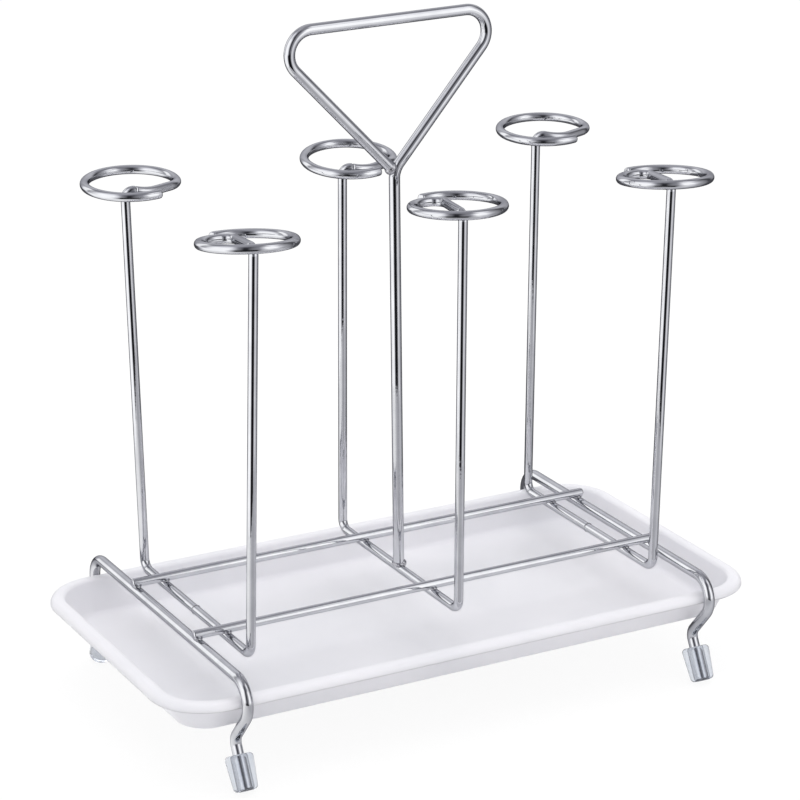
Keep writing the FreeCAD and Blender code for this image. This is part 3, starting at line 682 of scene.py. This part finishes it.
floor_mesh = disc("studio_floor", FLOOR_RADIUS, 0.0)
studio_floor = bpy.data.objects.new("studio_floor", floor_mesh)
bpy.context.scene.collection.objects.link(studio_floor)
pale, tree = new_material("pale_studio_floor")
seen = seen_directly(tree, add_node(tree, "ShaderNodeLightPath"))
share = add_node(tree, "ShaderNodeMath", {0: seen}, {1: FLOOR_GLOW_SHARE}, operation="MULTIPLY")
paint = add_node(tree, "ShaderNodeBsdfDiffuse", None, {"Color": srgb("f4f4f4")})
glow = add_node(tree, "ShaderNodeEmission", None, {"Color": srgb("ffffff"), "Strength": WHITE_GLOW})
blend = add_node(tree, "ShaderNodeMixShader",
                 {"Fac": share.outputs[0], 1: paint.outputs["BSDF"], 2: glow.outputs["Emission"]})
add_node(tree, "ShaderNodeOutputMaterial", {"Surface": blend.outputs["Shader"]})
floor_mesh.materials.append(pale)
studio_floor.visible_glossy = False

# What polished metal shows of the studio: a bright screen on the left, a tall box on the right, a dark gap
# towards the camera, grey overhead, and a pale table top that ends a little in front of the rack. Only
# reflections see these two pieces, also the reflections that leave through the clear caps.
CAMERA_BEARING = math.radians(28.527)
TABLE_RADIUS = 0.385
TABLE_SINK = 0.0005
TABLE_GLOW = 1.33
SCREEN_RADIUS = 3.0
SCREEN_GLOW = 1.47
# Where one band of the screens passes into the next, as shares of their radius over the floor
HORIZON = (-0.1, 0.02)
CEILING = (0.6, 0.76)
CROWN = (0.87, 0.95)


def around_and_up(tree):
    """Bearing as a share of a turn, 0.5 towards the camera and more to the right, and the height."""
    place = add_node(tree, "ShaderNodeTexCoord")
    turned = add_node(tree, "ShaderNodeMapping", {"Vector": place.outputs["Object"]},
                      {"Rotation": (0.0, 0.0, CAMERA_BEARING)})
    axes = add_node(tree, "ShaderNodeSeparateXYZ", {"Vector": turned.outputs["Vector"]})
    front = add_node(tree, "ShaderNodeMath", {0: axes.outputs["Y"]}, {1: -1.0}, operation="MULTIPLY")
    bearing = add_node(tree, "ShaderNodeMath", {0: axes.outputs["X"], 1: front.outputs[0]},
                       operation="ARCTAN2")
    share = add_node(tree, "ShaderNodeMapRange", {"Value": bearing.outputs[0]},
                     {"From Min": -math.pi, "From Max": math.pi, "To Min": 0.0, "To Max": 1.0})
    return share.outputs["Result"], axes.outputs["Z"]


def by_bearing(tree, share, greys):
    """Greys by bearing, in degrees from the camera's side, positive to the right."""
    stops = [((degrees + 180) / 360, code) for degrees, code in greys]
    return add_node(tree, "ShaderNodeValToRGB", {"Fac": share}, stops=stops).outputs["Color"]


def blend_up(tree, height, band, lower, upper):
    """One colour passes into another across a band of heights."""
    share = add_node(tree, "ShaderNodeMapRange", {"Value": height},
                     {"From Min": band[0] * SCREEN_RADIUS, "From Max": band[1] * SCREEN_RADIUS,
                      "To Min": 0.0, "To Max": 1.0}, interpolation_type="SMOOTHSTEP")
    blend = add_node(tree, "ShaderNodeMixRGB",
                     {"Fac": share.outputs["Result"], "Color1": lower, "Color2": upper})
    return blend.outputs["Color"]


def reflected_only(piece, tree, colour, strength):
    """A glowing piece that only reflections see."""
    light_path = add_node(tree, "ShaderNodeLightPath")
    mirrored = add_node(tree, "ShaderNodeMath", {0: light_path.outputs["Glossy Depth"]}, {1: 0.5},
                        operation="GREATER_THAN")
    clear = add_node(tree, "ShaderNodeBsdfTransparent")
    lit = add_node(tree, "ShaderNodeEmission", {"Color": colour}, {"Strength": strength})
    blend = add_node(tree, "ShaderNodeMixShader",
                     {"Fac": mirrored.outputs[0], 1: clear.outputs["BSDF"], 2: lit.outputs["Emission"]})
    add_node(tree, "ShaderNodeOutputMaterial", {"Surface": blend.outputs["Shader"]})
    bpy.context.scene.collection.objects.link(piece)
    piece.visible_camera = False
    piece.visible_diffuse = False
    piece.visible_shadow = False


screens, tree = new_material("studio_screens")
share, height = around_and_up(tree)
below = by_bearing(tree, share, [
    (-180, "58585c"), (-122, "58585c"), (-110, "c8c8cc"), (-100, "fafafa"), (-44, "ffffff"),
    (-30, "b4b4b8"), (-21, "141416"), (24, "18181a"), (34, "a4a4a8"), (52, "dededf"), (70, "cacace"),
    (84, "9c9ca0"), (104, "8c8c90"), (118, "58585c"), (180, "58585c")])
ahead = by_bearing(tree, share, [
    (-180, "cdcdd1"), (-150, "c4c4c8"), (-140, "a8a8ac"), (-132, "c8c8cc"), (-126, "ffffff"),
    (-112, "fafafa"), (-104, "98989c"), (-94, "b8b8bc"), (-82, "e8e8ea"), (-72, "ffffff"),
    (-36, "ffffff"), (-27, "d8d8dc"), (-18, "8c8c90"), (-9, "5a5a5e"), (-4, "2a2a2e"), (3, "2a2a2e"),
    (9, "5c5c60"), (16, "76767a"), (30, "8c8c92"), (38, "c8c8cc"), (46, "ffffff"), (66, "ffffff"),
    (76, "d0d0d4"), (90, "a0a0a4"), (106, "76767a"), (116, "48484c"), (124, "48484c"), (132, "8a8a8e"),
    (142, "b4b4b8"), (180, "cdcdd1")])
over = by_bearing(tree, share, [
    (-180, "a8a8ae"), (-150, "a0a0a6"), (-130, "7c7c82"), (-112, "84848a"), (-92, "b4b4ba"),
    (-72, "e0e0e4"), (-44, "e4e4e8"), (-32, "a0a0a6"), (-18, "6c6c72"), (-6, "46464c"), (10, "46464c"),
    (28, "7a7a80"), (46, "84848a"), (60, "c8c8cc"), (72, "f4f4f6"), (92, "dcdce0"), (106, "84848a"),
    (124, "747479"), (150, "88888e"), (180, "a8a8ae")])
zenith = by_bearing(tree, share, [
    (-180, "8e8e94"), (-70, "a0a0a6"), (-10, "84848a"), (60, "7c7c82"), (120, "84848a"), (180, "8e8e94")])
room = blend_up(tree, height, HORIZON, below, ahead)
room = blend_up(tree, height, CEILING, room, over)
room = blend_up(tree, height, CROWN, room, zenith)
shell = bmesh.new()
bmesh.ops.create_uvsphere(shell, u_segments=64, v_segments=32, radius=SCREEN_RADIUS)
screen_mesh = bpy.data.meshes.new("studio_screens")
shell.to_mesh(screen_mesh)
shell.free()
screen_mesh.materials.append(screens)
reflected_only(bpy.data.objects.new("studio_screens", screen_mesh), tree, room, SCREEN_GLOW)

table, tree = new_material("pale_table_top")
share = around_and_up(tree)[0]
shade = by_bearing(tree, share, [
    (-180, "606064"), (-124, "606064"), (-112, "c0c0c4"), (-95, "f2f2f2"), (-45, "f0f0f0"),
    (-20, "c8c8ca"), (0, "aaaaae"), (40, "aeaeb2"), (70, "c6c6ca"), (96, "a0a0a4"), (120, "606064"),
    (180, "606064")])
table_mesh = disc("table_top", TABLE_RADIUS, -TABLE_SINK)
table_mesh.materials.append(table)
reflected_only(bpy.data.objects.new("table_top", table_mesh), tree, shade, TABLE_GLOW)

softbox = bpy.data.lights.new("overhead_softbox", "AREA")
softbox.shape = "RECTANGLE"
softbox.size = 2.0
softbox.size_y = 1.6
softbox.energy = 15.0
lamp = bpy.data.objects.new("overhead_softbox", softbox)
lamp.location = (0.1, -0.1, 1.5)
lamp.visible_glossy = False
bpy.context.scene.collection.objects.link(lamp)

world = bpy.data.worlds.new("white_surround")
world.use_nodes = True
tree = world.node_tree
tree.nodes.clear()
light_path = add_node(tree, "ShaderNodeLightPath")
mirrored = add_node(tree, "ShaderNodeMath",
                    {0: seen_directly(tree, light_path), 1: light_path.outputs["Is Glossy Ray"]},
                    operation="MAXIMUM")
plain = add_node(tree, "ShaderNodeBackground", None, {"Color": srgb("ffffff"), "Strength": PLAIN_LIGHT})
white = add_node(tree, "ShaderNodeBackground", None, {"Color": srgb("ffffff"), "Strength": WHITE_GLOW})
blend = add_node(tree, "ShaderNodeMixShader",
                 {"Fac": mirrored.outputs[0], 1: plain.outputs["Background"],
                  2: white.outputs["Background"]})
add_node(tree, "ShaderNodeOutputWorld", {"Surface": blend.outputs["Shader"]})
bpy.context.scene.world = world
